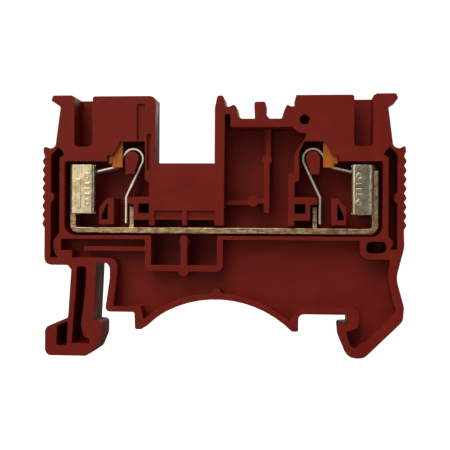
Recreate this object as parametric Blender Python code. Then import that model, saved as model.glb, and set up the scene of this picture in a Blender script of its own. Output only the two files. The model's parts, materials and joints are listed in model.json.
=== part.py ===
"""Push-in feed-through terminal block for a 35 mm mounting rail.

Frame: X runs along the block from the snap foot side to the fixed hook side, Y runs through its
thickness from the open face (-Y) to the closed back wall (+Y), and Z points up from the rail.
The origin lies on the plane of the rail's top face, midway between the two wire clamps.
The two clamps are mirror images, so their shapes are given as (a, z), where a is the distance
outwards from the block's middle, and are placed with side = -1 (left) or +1 (right).
All sizes below are in millimetres, and the mesh builders turn them into metres.
"""
import math

import bmesh
import bpy

MM = 0.001

# Overall sizes
LENGTH = 48.5               # over the serrated ends
THICKNESS = 5.2             # the width that one block takes on the rail
HEIGHT = 35.1               # from the snap foot's sole to the marker arms
SOLE_DEPTH = 6.0            # snap foot's sole below the rail's top face
TOWER_DROP = 0.15           # towers below the marker arms

# Housing walls
BACK_WALL = 0.7
TOWER_FRONT = 0.45          # front wall of the button shafts
SHAFT_FRONT = 0.8           # front wall of the bridge shafts
WEB_DEPTH = 2.4             # depth of the lower web pocket
RIB = 0.8                   # ribs and rims of the lower body
SHALLOW = 0.4               # depth of the cosmetic recesses
RIB_SET_BACK = 0.5          # inner ribs stop this far behind the open face
BOSS_R = 0.67               # round injection bosses

# Cut-out between the towers for the plug-in bridge, and the box below it
CUT_LEFT = -8.89
CUT_RIGHT = -0.94
CUT_FLOOR = 19.93
CUT_SLOPE = 0.28            # the left tower's side runs back this much from front to back
BOX_LEFT = -10.22
BOX_RIGHT = 0.27
BOX_BOTTOM = 5.5
SHAFT_WIDTH = 3.7           # each of the two bridge shafts
SHAFT_POST = 0.66           # wall between them

# Rail side
RAIL_EDGE = 1.1             # slot height for the rail's edge
RAIL_POCKET_X = 16.65       # far end of that slot
SEAT_LEFT = -15.4
TOOTH_LEFT = -11.5
TOOTH_RIGHT = 10.3
TOOTH_DEPTH = 2.3
TOOTH_WIDTH = 0.85
ARCH_RISE = 1.8             # arch crown above the rail's top face

# Serrated ends and marker arms, measured inwards from the end of the block
TOOTH_PITCH = 1.2
TOOTH_COUNT = 8
TOOTH_HEIGHT = 0.28
GROOVE_WIDTH = 1.2
END_WALL = 1.1              # from the tooth tips to the grip groove

# Current bar
BAR_THICK = 0.8
BAR_BOTTOM = 10.55
BAR_END_WIDTH = 2.75
BAR_FRONT_GAP = 0.4
BAR_BEND_R = 1.1
TAB_THICK = 0.6
TAB_HEIGHT = 2.85

# Clamp cage
CAGE_SHEET = 0.4
CAGE_LENGTH = 3.55
CAGE_HEIGHT = 6.55
CAGE_TO_END = 3.55          # from the block's end to the cage's outer wall

# Clamp spring
STRIP = 0.3
STRIP_WIDTH = 2.4
PIVOT_TO_END = 12.13        # from the block's end to the bow's centre
PIVOT_Z = 20.63
CEILING = 20.2              # of the clamp chambers
BOW_R = 1.32
FOOT_OFFSET = 0.95          # foot of the spring, outwards of the bow's centre
SPRING_LIFT = 0.55          # foot of the spring above the bar
KNEE_OFFSET = 2.48          # knee of the leg, outwards of the bow's centre
KNEE_DROP = 1.13
LEG_SLOPE = 16.0            # degrees below level when closed
LEG_SWING = 35.0            # degrees from closed to fully open
SPLIT_ANGLE = 94.0          # where the bow is split into its fixed and its moving half

# Push button
BUTTON_TRAVEL = 2.2
BUTTON_REACH = 3.28         # outer side of the stem, outwards of the bow's centre
STEM_WIDTH = 1.95
BOW_GAP = 0.33              # from the stem to the spring's bow
LEG_GAP = 0.4               # from the stem to the spring's steep leg
HEAD_WIDTH = 3.6
HEAD_HEIGHT = 2.2
HEAD_RECESS = 0.5
CHEEK_THICK = 0.4

# Wire entry
FUNNEL_WIDTH = 2.5
FUNNEL_DEPTH = 6.8
FUNNEL_LIP = 0.35           # rounding of the funnel's mouth
FUNNEL_CORNER = 0.55
WIRE_HOLE_R = 1.1

# Clearances
FIT = 0.25                  # between neighbouring pieces
SLIDE = 0.2                 # beside the sliding buttons and the swinging legs
THROUGH = 1.0               # how far a cutter runs past a face

# Values that follow
HALF = LENGTH / 2
FRONT = -THICKNESS / 2
BACK = THICKNESS / 2
FLOOR = BACK - BACK_WALL
TOP = HEIGHT - SOLE_DEPTH
TOWER = TOP - TOWER_DROP
BAR_TOP = BAR_BOTTOM + BAR_THICK
CHANNEL_TOP = BAR_TOP + 0.3
CHANNEL_BOTTOM = BAR_BOTTOM - 0.3
PIVOT_A = HALF - PIVOT_TO_END
CAGE_OUT = HALF - CAGE_TO_END
CAGE_IN = CAGE_OUT - CAGE_LENGTH
CAGE_TOP = CEILING - 0.45
CAGE_BOTTOM = CAGE_TOP - CAGE_HEIGHT
CHAMBER_OUT = CAGE_OUT + 0.55
FUNNEL_OUT = CAGE_OUT - 0.73
FUNNEL_IN = FUNNEL_OUT - FUNNEL_WIDTH
FUNNEL_BOTTOM = TOWER - FUNNEL_DEPTH
GROOVE_OUT = HALF - END_WALL
GROOVE_IN = GROOVE_OUT - GROOVE_WIDTH
BUTTON_FRONT = FRONT + TOWER_FRONT + SLIDE
BUTTON_BACK = FLOOR - FIT
STRIP_FRONT = BUTTON_FRONT + CHEEK_THICK + SLIDE
STRIP_BACK = STRIP_FRONT + STRIP_WIDTH
STEM_OUT = PIVOT_A + BUTTON_REACH
STEM_IN = STEM_OUT - STEM_WIDTH
HEAD_TOP = TOWER - HEAD_RECESS
HEAD_BOTTOM = HEAD_TOP - HEAD_HEIGHT
SHAFT_STEP = HEAD_BOTTOM - BUTTON_TRAVEL - FIT
CAGE_FRONT = FRONT + 0.2
CAGE_BACK = FLOOR - FIT
FOOT_HINGE = (-18.55, 3.6)
FOOT_HALF = 1.7
ROOT_BOTTOM = FOOT_HINGE[1] + FOOT_HALF + 0.3
SHOULDER_Z = 6.2
BOX_MIDDLE = (BOX_LEFT + BOX_RIGHT) / 2
WELL_BOTTOM = BOX_BOTTOM + RIB


# ---------------------------------------------------------------- outlines

def arc(centre, radius, start, end, step=15.0):
    """Points on a circle from start to end, in degrees."""
    count = max(2, math.ceil(abs(end - start) / step))
    points = []
    for i in range(count + 1):
        angle = math.radians(start + (end - start) * i / count)
        points.append((centre[0] + radius * math.cos(angle), centre[1] + radius * math.sin(angle)))
    return points


def corner(before, point, after, radius, step=22.5):
    """The arc that rounds one corner, shortened where its sides are too short for the radius."""
    ax, az = before[0] - point[0], before[1] - point[1]
    bx, bz = after[0] - point[0], after[1] - point[1]
    la, lb = math.hypot(ax, az), math.hypot(bx, bz)
    ax, az, bx, bz = ax / la, az / la, bx / lb, bz / lb
    angle = math.acos(max(-1.0, min(1.0, ax * bx + az * bz)))
    turn = math.pi - angle
    if turn < math.radians(2):
        return [(point[0], point[1])]
    cut = min(radius * math.tan(turn / 2), 0.48 * la, 0.48 * lb)
    radius = cut / math.tan(turn / 2)
    mx, mz = ax + bx, az + bz
    lm = math.hypot(mx, mz)
    reach = math.hypot(radius, cut)
    centre = (point[0] + mx / lm * reach, point[1] + mz / lm * reach)
    first = math.atan2(point[1] + az * cut - centre[1], point[0] + ax * cut - centre[0])
    last = math.atan2(point[1] + bz * cut - centre[1], point[0] + bx * cut - centre[0])
    sweep = (last - first + math.pi) % (2 * math.pi) - math.pi
    return arc(centre, radius, math.degrees(first), math.degrees(first + sweep), step)


def rounded(points, closed=True):
    """An outline from (x, z) points and (x, z, radius) points whose corner is rounded."""
    result = []
    count = len(points)
    for i, point in enumerate(points):
        inner = closed or 0 < i < count - 1
        if len(point) == 3 and inner:
            result += corner(points[i - 1], point, points[(i + 1) % count], point[2])
        else:
            result.append((point[0], point[1]))
    return result


def rectangle(x0, x1, z0, z1, radius=0.0):
    if radius == 0.0:
        return [(x0, z0), (x1, z0), (x1, z1), (x0, z1)]
    return rounded([(x0, z0, radius), (x1, z0, radius), (x1, z1, radius), (x0, z1, radius)])


def ribbon(path, thickness):
    """The outline of a strip of even thickness along an open path."""
    near, far = [], []
    for i, point in enumerate(path):
        before, after = path[max(i - 1, 0)], path[min(i + 1, len(path) - 1)]
        dx, dz = after[0] - before[0], after[1] - before[1]
        length = math.hypot(dx, dz)
        nx, nz = -dz / length * thickness / 2, dx / length * thickness / 2
        near.append((point[0] + nx, point[1] + nz))
        far.append((point[0] - nx, point[1] - nz))
    return near + far[::-1]


def placed(outline, side):
    """An (a, z) outline on the left (side -1) or the right (side +1)."""
    return [(side * point[0],) + tuple(point[1:]) for point in outline]


# ---------------------------------------------------------------- solids

def prism(name, outline, low, high, axis="Y"):
    """An outline swept along one axis. Its two coordinates are the other two axes, in order."""
    mesh = bpy.data.meshes.new(name)
    build = bmesh.new()
    verts = []
    for first, second in outline:
        spot = {"X": (low, first, second), "Y": (first, low, second), "Z": (first, second, low)}[axis]
        verts.append(build.verts.new([value * MM for value in spot]))
    face = build.faces.new(verts)
    swept = bmesh.ops.extrude_face_region(build, geom=[face])
    shift = [(high - low) * MM if letter == axis else 0.0 for letter in "XYZ"]
    moved = [item for item in swept["geom"] if isinstance(item, bmesh.types.BMVert)]
    bmesh.ops.translate(build, verts=moved, vec=shift)
    bmesh.ops.recalc_face_normals(build, faces=build.faces)
    build.to_mesh(mesh)
    build.free()
    solid = bpy.data.objects.new(name, mesh)
    bpy.context.scene.collection.objects.link(solid)
    return solid


def block(name, x0, x1, y0, y1, z0, z1):
    x0, x1 = min(x0, x1), max(x0, x1)
    return prism(name, rectangle(x0, x1, z0, z1), y0, y1)


def combine(target, tool, operation):
    """Cut the tool out of the target, or join it on, and remove the tool."""
    modifier = target.modifiers.new("shape", "BOOLEAN")
    modifier.operation = operation
    modifier.solver = "EXACT"
    modifier.object = tool
    graph = bpy.context.evaluated_depsgraph_get()
    mesh = bpy.data.meshes.new_from_object(target.evaluated_get(graph))
    target.modifiers.clear()
    old = target.data
    target.data = mesh
    mesh.name = old.name
    bpy.data.meshes.remove(old)
    bpy.data.objects.remove(tool, do_unlink=True)


def cut(target, *tools):
    for tool in tools:
        combine(target, tool, "DIFFERENCE")


def join(target, *tools):
    for tool in tools:
        combine(target, tool, "UNION")


def pocket(target, outline, depth_y):
    """Cut an outline from the open face down to depth_y."""
    cut(target, prism("pocket", outline, FRONT - THROUGH, depth_y))


def raised(target, outline, front_y=FRONT):
    """Stand an outline up from the back wall to front_y."""
    join(target, prism("raised", outline, front_y, FLOOR + BACK_WALL / 2))


def material(name, colour, roughness, metallic):
    finish = bpy.data.materials.new(name)
    finish.use_nodes = True
    shader = finish.node_tree.nodes["Principled BSDF"]
    shader.inputs["Base Color"].default_value = (*colour, 1.0)
    shader.inputs["Roughness"].default_value = roughness
    shader.inputs["Metallic"].default_value = metallic
    return finish


def move_origin(solid, x, y, z):
    """Put the object's origin on a joint's axis and leave its shape in place."""
    for vertex in solid.data.vertices:
        vertex.co.x -= x * MM
        vertex.co.y -= y * MM
        vertex.co.z -= z * MM
    solid.location = (x * MM, y * MM, z * MM)


# ---------------------------------------------------------------- clamp geometry

def pivot():
    return (PIVOT_A, PIVOT_Z)


def tangent_angle(point, turn):
    """Angle on the bow, in degrees, where a line from the point touches it."""
    dx, dz = point[0] - PIVOT_A, point[1] - PIVOT_Z
    spread = math.acos(BOW_R / math.hypot(dx, dz))
    return math.degrees(math.atan2(dz, dx) + turn * spread)


def knee():
    return (PIVOT_A + KNEE_OFFSET, PIVOT_Z - KNEE_DROP)


def leg_tip():
    reach = CAGE_OUT - BAR_THICK - FIT - 0.05 - knee()[0]
    return (knee()[0] + reach, knee()[1] - reach * math.tan(math.radians(LEG_SLOPE)))


def open_leg(point):
    """Where a point of the closed leg goes when the leg is fully open."""
    swing = math.radians(-LEG_SWING)
    da, dz = point[0] - PIVOT_A, point[1] - PIVOT_Z
    return (PIVOT_A + da * math.cos(swing) - dz * math.sin(swing),
            PIVOT_Z + da * math.sin(swing) + dz * math.cos(swing))


def open_leg_height(a):
    """Height of the open leg's centre line at distance a from the middle."""
    start, end = open_leg(knee()), open_leg(leg_tip())
    return start[1] + (end[1] - start[1]) * (a - start[0]) / (end[0] - start[0])


# ---------------------------------------------------------------- housing

def end_profile(low_z):
    """One end of the block as (a, z), from the wire funnel over the marker arm down to low_z."""
    face = HALF - TOOTH_HEIGHT
    first_tooth = CEILING
    profile = [(FUNNEL_OUT + FUNNEL_LIP, TOWER), (FUNNEL_OUT + FUNNEL_LIP, TOP), (HALF - 1.35, TOP, 0.25),
               (HALF - 1.1, TOP - 0.7, 0.2), (HALF - 2.4, TOP - 1.55, 0.3),
               (HALF - 1.7, CEILING + 1.93, 0.6), (HALF - 0.9, CEILING + 1.68, 0.3),
               (HALF - 0.15, CEILING + 2.08, 0.2), (HALF - 0.05, CEILING + 1.33, 0.3),
               (face, first_tooth + TOOTH_PITCH / 2)]
    for i in range(TOOTH_COUNT):
        z = first_tooth - i * TOOTH_PITCH
        profile += [(HALF, z + 0.12), (HALF, z - 0.12), (face, z - TOOTH_PITCH / 2)]
    profile.append((face, low_z))
    return profile


def arch_arc(offset):
    """The arch between the two rail teeth, or its inner rim when offset is the rim's thickness."""
    left, right = TOOTH_LEFT + TOOTH_WIDTH, TOOTH_RIGHT - TOOTH_WIDTH
    half = (right - left) / 2
    rise = ARCH_RISE + TOOTH_DEPTH
    radius = (half * half + rise * rise) / (2 * rise)
    centre = ((left + right) / 2, ARCH_RISE - radius)
    radius += offset
    reach = math.degrees(math.asin((half - 0.35 * offset) / radius))
    return arc(centre, radius, 90 + reach, 90 - reach, 6.0)


def housing_outline():
    outline = [(TOOTH_HEIGHT - HALF, SHOULDER_Z, 1.3)]
    outline += placed(end_profile(SHOULDER_Z + 2.0), -1)[::-1]
    # left tower, bridge cut-out and its floor
    outline += [(CUT_LEFT + 0.08, TOWER, 0.9), (CUT_LEFT, CUT_FLOOR), (CUT_RIGHT, CUT_FLOOR)]
    # marker slot with its three teeth
    slot = TOP - 3.25
    outline += [(CUT_RIGHT, TOWER - 1.6, 1.0), (CUT_RIGHT + 0.35, TOWER, 0.3), (0.15, TOWER, 0.2),
                (0.55, TOP - 1.65, 0.1),
                (1.0, TOP - 1.65), (1.55, TOP - 1.35, 0.15), (1.9, TOP - 1.6),
                (2.2, slot + 0.25, 0.3), (2.7, slot), (4.4, slot, 0.1), (4.3, TOP - 1.0, 0.3),
                (5.85, TOP - 1.0, 0.3), (5.75, slot + 0.7), (6.35, slot), (7.95, slot, 0.15),
                (8.3, TOP - 2.1), (8.65, TOP - 1.4, 0.15), (9.2, TOP - 1.65), (9.6, TOP - 1.65),
                (9.6, TOP - 1.1), (9.85, TOWER, 0.1)]
    # right end, waist above the fixed hook, hook and rail slot
    outline += end_profile(SHOULDER_Z + 4.7)
    outline += [(HALF - 0.2, 8.9, 3.0), (HALF - 1.25, 4.9, 3.0), (HALF - 0.2, 1.1, 2.0),
                (HALF - 0.35, -0.75, 1.2), (RAIL_POCKET_X + 2.2, 0.3 - SOLE_DEPTH, 1.5),
                (RAIL_POCKET_X + 0.1, 0.35 - SOLE_DEPTH, 1.6), (RAIL_POCKET_X - 1.1, -2.9, 1.5),
                (RAIL_POCKET_X - 1.25, -RAIL_EDGE, 0.4), (RAIL_POCKET_X, -RAIL_EDGE, 0.1),
                (RAIL_POCKET_X, 0.0, 0.1)]
    # right seat and tooth, arch, left tooth and seat
    outline += [(TOOTH_RIGHT, 0.0, 0.7), (TOOTH_RIGHT, -TOOTH_DEPTH, 0.2)]
    outline += arch_arc(0.0)[::-1]
    outline += [(TOOTH_LEFT, -TOOTH_DEPTH, 0.25), (TOOTH_LEFT - 0.1, 0.0, 0.3), (SEAT_LEFT - 0.2, 0.0, 0.6)]
    # slot behind the snap foot, and the root that the foot hangs from
    inner = FOOT_HINGE[0] + FOOT_HALF
    outer = FOOT_HINGE[0] - FOOT_HALF
    outline += [(SEAT_LEFT + 0.42, 4.5), (SEAT_LEFT + 0.42, SHOULDER_Z + 0.4, 0.9),
                (inner, SHOULDER_Z + 0.4, 0.8), (inner, ROOT_BOTTOM), (outer, ROOT_BOTTOM),
                (outer - 0.5, SHOULDER_Z, 0.4)]
    return rounded(outline)


def chamber_outline():
    """One clamp chamber as (a, z)."""
    wall = PIVOT_A - 2.42
    nose = PIVOT_A + FOOT_OFFSET - STRIP / 2 - FIT
    return rounded([
        (wall, CHANNEL_BOTTOM), (CHAMBER_OUT, CHANNEL_BOTTOM, 1.4), (CHAMBER_OUT, CEILING, 0.3),
        (STEM_OUT + 0.05, CEILING), (STEM_OUT + 0.05, CEILING + 0.8), (STEM_OUT - 0.7, CEILING + 0.8),
        (PIVOT_A + 1.53, PIVOT_Z + 2.2, 0.2), (PIVOT_A - 1.2, PIVOT_Z + 2.25, 0.5),
        (PIVOT_A - 1.85, PIVOT_Z + 0.6, 1.0), (PIVOT_A - 1.8, CEILING - 2.57, 0.3),
        (wall, CEILING - 2.77), (wall, CEILING - 4.77), (nose, CEILING - 4.77, 0.2),
        (nose, CEILING - 5.72), (nose - 0.9, CEILING - 5.72), (nose - 0.9, CHANNEL_TOP + 0.7),
        (wall, CHANNEL_TOP + 0.7)])


def bow_island_outline():
    """The island inside the spring's bow, as (a, z)."""
    radius = BOW_R - STRIP / 2 - FIT
    slant = (PIVOT_A - 0.25, PIVOT_Z - 2.15)
    return arc(pivot(), radius, 0, 200) + [slant, (PIVOT_A + radius - 0.1, PIVOT_Z - 2.15)]


def leg_stop_outline():
    """The block that the open leg comes to rest on, as (a, z)."""
    near, far = PIVOT_A + 2.4, PIVOT_A + 4.35
    drop = (STRIP / 2 + FIT) / math.cos(math.radians(LEG_SLOPE + LEG_SWING))
    crest = near + 0.9
    return [(near, CHANNEL_TOP + 0.1), (far, CHANNEL_TOP + 0.1), (far, open_leg_height(far) - drop),
            (crest, open_leg_height(crest) - drop), (near, open_leg_height(crest) - drop)]


def leg_stop_window():
    near, far = PIVOT_A + 2.4, PIVOT_A + 4.35
    return [(near + 0.8, CHANNEL_TOP + 0.75), (far - 0.3, CHANNEL_TOP + 0.75),
            (far - 0.3, CHANNEL_TOP + 1.35), (near + 0.95, CHANNEL_TOP + 2.85),
            (near + 0.8, CHANNEL_TOP + 2.85)]


def funnel_outline():
    """The wire funnel as (a, z), with rounded lips at its mouth."""
    inner, outer = FUNNEL_IN - FUNNEL_LIP, FUNNEL_OUT + FUNNEL_LIP
    outline = [(inner, TOP + THROUGH)] + arc((inner, TOWER - FUNNEL_LIP), FUNNEL_LIP, 90, 0, 22.5)
    outline += [(FUNNEL_IN, FUNNEL_BOTTOM, FUNNEL_CORNER), (FUNNEL_OUT, FUNNEL_BOTTOM, FUNNEL_CORNER)]
    outline += arc((outer, TOP - FUNNEL_LIP), FUNNEL_LIP, 180, 90, 22.5) + [(outer, TOP + THROUGH)]
    return rounded(outline)


def groove_outline(low_z, bulge):
    """The grip groove beside one end as (a, z), with a bulge of the neighbouring rib at its foot."""
    top = CEILING + 0.83
    outline = [(GROOVE_OUT, low_z), (GROOVE_OUT, CEILING - 5.67)]
    outline += arc((GROOVE_OUT + 0.35, CEILING - 4.87), 0.8, 245, 115, 22.5)
    outline += [(GROOVE_OUT, top), (GROOVE_OUT - 1.05, top + 1.1), (GROOVE_IN - 0.4, top + 0.5),
                (GROOVE_IN - 0.65, top), (GROOVE_IN, top - 0.3), (GROOVE_IN, low_z + bulge + 0.6),
                (GROOVE_IN + 0.8, low_z + bulge - 0.4, 0.5), (GROOVE_IN + 0.7, low_z + 0.9, 0.4),
                (GROOVE_IN + 0.2, low_z)]
    return rounded(outline)


def web_outline():
    """The shallow pocket of the lower body, round the bridge box, the ribs and the rail hook."""
    top = CHANNEL_BOTTOM - 0.5
    step = SHOULDER_Z + 1.0
    seat = RIB
    boss_left = PIVOT_A + 6.15
    outline = [(-GROOVE_IN + 0.25, top), (BOX_LEFT, top), (BOX_LEFT, BOX_BOTTOM, 0.9)]
    outline += arc((BOX_MIDDLE, BOX_BOTTOM), BOSS_R, 180, 360, 30)
    outline += [(BOX_RIGHT, BOX_BOTTOM, 0.9), (BOX_RIGHT, top), (boss_left, top),
                (boss_left, 7.3, 1.6), (HALF - 2.05, 7.3), (HALF - 2.3, 4.8, 2.0),
                (HALF - 1.6, 1.4, 0.6), (HALF - 1.25, 0.9), (HALF - 1.4, 0.3, 0.2)]
    # along the sloping rim to the hook, and back round the rail slot
    outline += [(RAIL_POCKET_X + 2.4, -3.6), (RAIL_POCKET_X + 1.75, -3.7),
                (RAIL_POCKET_X + 1.2, -4.6, 0.35), (RAIL_POCKET_X + 0.4, -3.9),
                (RAIL_POCKET_X - 0.15, -2.2, 0.2), (RAIL_POCKET_X + 1.6, -1.7, 1.0),
                (RAIL_POCKET_X + 1.6, seat + 0.15, 1.0), (TOOTH_RIGHT + 0.2, seat, 0.7)]
    outline += arch_arc(RIB)[::-1]
    outline += [(TOOTH_LEFT + 0.75, seat - 0.1), (SEAT_LEFT + 0.9, seat - 0.1),
                (SEAT_LEFT + 1.65, step, 1.3), (FOOT_HINGE[0] - 1.6, step),
                (FOOT_HINGE[0] - 1.6, step + 1.0), (-GROOVE_IN + 0.25, step + 1.0)]
    return rounded(outline)


def middle_outline():
    """The empty chamber between the bridge shafts and the right clamp."""
    right = PIVOT_A - 3.25
    hole = (PIVOT_A - 1.15, TOP - 3.4)
    outline = [(0.33, CHANNEL_TOP - 0.2), (right, CHANNEL_TOP - 0.2), (right, CEILING - 1.72),
               (right + 0.8, CEILING - 1.37, 0.3), (right + 0.8, CEILING + 0.93, 0.8),
               (right + 2.25, CEILING + 3.15, 0.3)]
    outline += arc(hole, 1.8, 278, 228, 16)
    outline += [(right + 0.5, TOP - 4.35), (1.15, TOP - 4.35), (1.15, TOP - 2.65), (0.4, TOP - 2.65)]
    return rounded(outline)


def well_spans():
    """X ranges of the two wells below the bar."""
    post, wall = 0.44, 0.82
    return [(BOX_LEFT + wall, BOX_MIDDLE - post), (BOX_MIDDLE + post, BOX_RIGHT - wall)]


def bridge_shaft_spans():
    """X ranges of the two plug-in bridge shafts."""
    left, right = BOX_MIDDLE + 0.05 - SHAFT_POST / 2, BOX_MIDDLE + 0.05 + SHAFT_POST / 2
    return [(left - SHAFT_WIDTH, left), (right, right + SHAFT_WIDTH)]


def cut_clamp_seat(housing, side):
    """Everything that one wire clamp needs: chamber, grooves, funnel and button shaft."""
    pocket(housing, placed(chamber_outline(), side), FLOOR)
    left = PIVOT_A - 2.42
    window = rectangle(left, left + 1.45, CHANNEL_TOP + 1.6, CHANNEL_TOP + 2.9)
    pocket(housing, placed(window, side), FLOOR)
    pocket(housing, placed(funnel_outline(), side), FLOOR)
    low, bulge = (SHOULDER_Z + 1.0, 2.7) if side < 0 else (SHOULDER_Z + 2.4, 1.2)
    pocket(housing, placed(groove_outline(low, bulge), side), FLOOR)
    wire = ((FUNNEL_IN + FUNNEL_OUT) / 2 - 0.05, (CAGE_FRONT + CAGE_BACK) / 2)
    circle = arc((side * wire[0], wire[1]), WIRE_HOLE_R, 0, 360, 22.5)[:-1]
    cut(housing, prism("wire_hole", circle, CEILING - 0.3, FUNNEL_BOTTOM + 0.7, "Z"))
    shaft_front = FRONT + TOWER_FRONT
    stem = (side * (STEM_IN - FIT), side * (STEM_OUT + FIT))
    cut(housing, block("stem_shaft", *stem, shaft_front, FLOOR, CEILING - 0.2, SHAFT_STEP + 0.2))
    middle = (STEM_IN + STEM_OUT) / 2
    head = (side * (middle - HEAD_WIDTH / 2 - FIT), side * (middle + HEAD_WIDTH / 2 + FIT))
    cut(housing, block("head_shaft", *head, shaft_front, FLOOR, SHAFT_STEP, TOWER + THROUGH))


def add_clamp_islands(housing, side):
    """The island inside the bow and the open leg's stop."""
    raised(housing, placed(bow_island_outline(), side), FRONT + 0.25)
    raised(housing, placed(leg_stop_outline(), side), FRONT + 0.1)
    pocket(housing, placed(leg_stop_window(), side), FLOOR)


def make_housing():
    housing = prism("housing", housing_outline(), FRONT, BACK)
    pocket(housing, web_outline(), FRONT + WEB_DEPTH)
    slope = [(CUT_LEFT + THROUGH, FRONT), (CUT_LEFT, FRONT), (CUT_LEFT - CUT_SLOPE, BACK),
             (CUT_LEFT + THROUGH, BACK)]
    cut(housing, prism("tower_side", slope, CUT_FLOOR, TOP + THROUGH, "Z"))
    channel_end = PIVOT_A + 1.0
    pocket(housing, rectangle(-channel_end, channel_end, CHANNEL_BOTTOM, CHANNEL_TOP), FLOOR)
    pocket(housing, middle_outline(), FLOOR)
    for left, right in well_spans():
        pocket(housing, rectangle(left, right, WELL_BOTTOM, CHANNEL_BOTTOM + 0.2, 0.1), FLOOR)
    for left, right in bridge_shaft_spans():
        pocket(housing, rectangle(left, right, CHANNEL_TOP - 0.2, CHANNEL_TOP + 0.75), FLOOR)
        pocket(housing, rectangle(left, right, CHANNEL_TOP + 0.85, CHANNEL_TOP + 1.95), FRONT + SHALLOW)
        cut(housing, block("bridge_shaft", left, right, FRONT + SHAFT_FRONT, FLOOR - 0.3,
                           CHANNEL_TOP + 0.3, CUT_FLOOR + THROUGH))
    for side in (-1, 1):
        cut_clamp_seat(housing, side)
    # the left chamber's top is square beside the spring's bow
    pocket(housing, rectangle(-PIVOT_A + 0.5, -PIVOT_A + 1.8, PIVOT_Z, PIVOT_Z + 2.25, 0.15), FLOOR)
    for side in (-1, 1):
        add_clamp_islands(housing, side)
    # shallow recesses of the left tower, blind hole of the right tower, oval pocket at the right end
    pocket(housing, rectangle(-PIVOT_A + 0.7, -PIVOT_A + 1.75, TOP - 6.0, TOP - 1.2), FRONT + SHALLOW)
    recess = CUT_LEFT - 0.58
    pocket(housing, rectangle(recess - 0.58, recess, CEILING - 1.27, CEILING + 3.68, 0.1),
           FRONT + SHALLOW + 0.1)
    pocket(housing, arc((PIVOT_A - 1.15, TOP - 3.4), BOSS_R, 0, 360, 22.5)[:-1], FLOOR - 1.0)
    pocket(housing, rectangle(HALF - 5.15, HALF - 2.5, SHOULDER_Z + 1.9, CHANNEL_BOTTOM - 0.6, 0.6), FLOOR)
    # ribs and round bosses inside the open pockets
    set_back = FRONT + RIB_SET_BACK
    mid_rib = PIVOT_A - 6.48
    raised(housing, rectangle(mid_rib, mid_rib + 0.73, CHANNEL_TOP + 1.7, CEILING - 0.17), set_back)
    raised(housing, arc((mid_rib + 0.37, CEILING + 0.23), BOSS_R, 0, 360, 22.5)[:-1], set_back)
    raised(housing, rectangle(mid_rib - 0.7, mid_rib + 0.2, CHANNEL_TOP + 2.95, CHANNEL_TOP + 3.65), set_back)
    raised(housing, arc((mid_rib - 1.45, CHANNEL_TOP + 3.3), BOSS_R + 0.1, 0, 360, 22.5)[:-1], set_back)
    raised(housing, rectangle(mid_rib + 0.1, mid_rib + 0.85, CEILING + 0.53, TOP - 4.0), FRONT + WEB_DEPTH)
    raised(housing, rectangle(0.0, mid_rib - 1.5, CHANNEL_TOP + 2.8, CHANNEL_TOP + 3.4), FRONT + WEB_DEPTH)
    raised(housing, rectangle(-HALF + 5.6, BOX_LEFT + 0.3, SHOULDER_Z + 1.95, SHOULDER_Z + 2.55), set_back)
    raised(housing, arc((BOX_MIDDLE, CHANNEL_BOTTOM - 0.77), BOSS_R, 0, 360, 22.5)[:-1],
           set_back)
    crown = arch_arc(RIB)[len(arch_arc(RIB)) // 2]
    raised(housing, rounded([(crown[0] - 0.8, crown[1] - 0.3), (crown[0] + 0.8, crown[1] - 0.3),
                             (crown[0] + 0.45, crown[1] + 0.55, 0.2),
                             (crown[0] - 0.45, crown[1] + 0.55, 0.2)]), set_back)
    return housing


# ---------------------------------------------------------------- snap foot

def make_snap_foot():
    """The springy foot that grips the rail's left edge. It is one moulding with the housing."""
    x, z = FOOT_HINGE
    outline = arc(FOOT_HINGE, FOOT_HALF, 180, 0)
    outline += [(x + FOOT_HALF - 0.3, -RAIL_EDGE - 0.15), (x + 2.45, -RAIL_EDGE - 0.2, 0.6),
                (x + 2.45, -3.2, 1.2), (x + 1.7, 0.9 - SOLE_DEPTH, 1.0), (x + 0.4, -SOLE_DEPTH, 1.0),
                (x - 5.25, -SOLE_DEPTH, 0.9), (x - 5.25, 3.8 - SOLE_DEPTH, 0.9),
                (x - 2.1, 5.15 - SOLE_DEPTH, 0.3)]
    foot = prism("snap_foot", rounded(outline), FRONT, BACK)
    stem_pocket = [(x - 1.0, z + 0.9, 0.3), (x + 0.35, z + 0.9, 0.3), (x + 0.1, z - 2.2),
                   (x - 0.3, z - 5.5, 0.5), (x + 0.1, z - 7.05, 0.5), (x + 0.85, z - 7.25),
                   (x + 0.85, 1.65 - SOLE_DEPTH), (x - 1.6, 1.65 - SOLE_DEPTH, 0.1)]
    toe_pocket = [(x - 3.6, 4.0 - SOLE_DEPTH), (x - 2.1, 4.65 - SOLE_DEPTH),
                  (x - 2.25, 1.3 - SOLE_DEPTH, 0.3), (x - 3.7, 1.3 - SOLE_DEPTH, 0.3)]
    pocket(foot, rounded(stem_pocket), FLOOR)
    pocket(foot, rounded(toe_pocket), FLOOR)
    move_origin(foot, x, 0.0, z)
    return foot


# ---------------------------------------------------------------- metal parts

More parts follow.
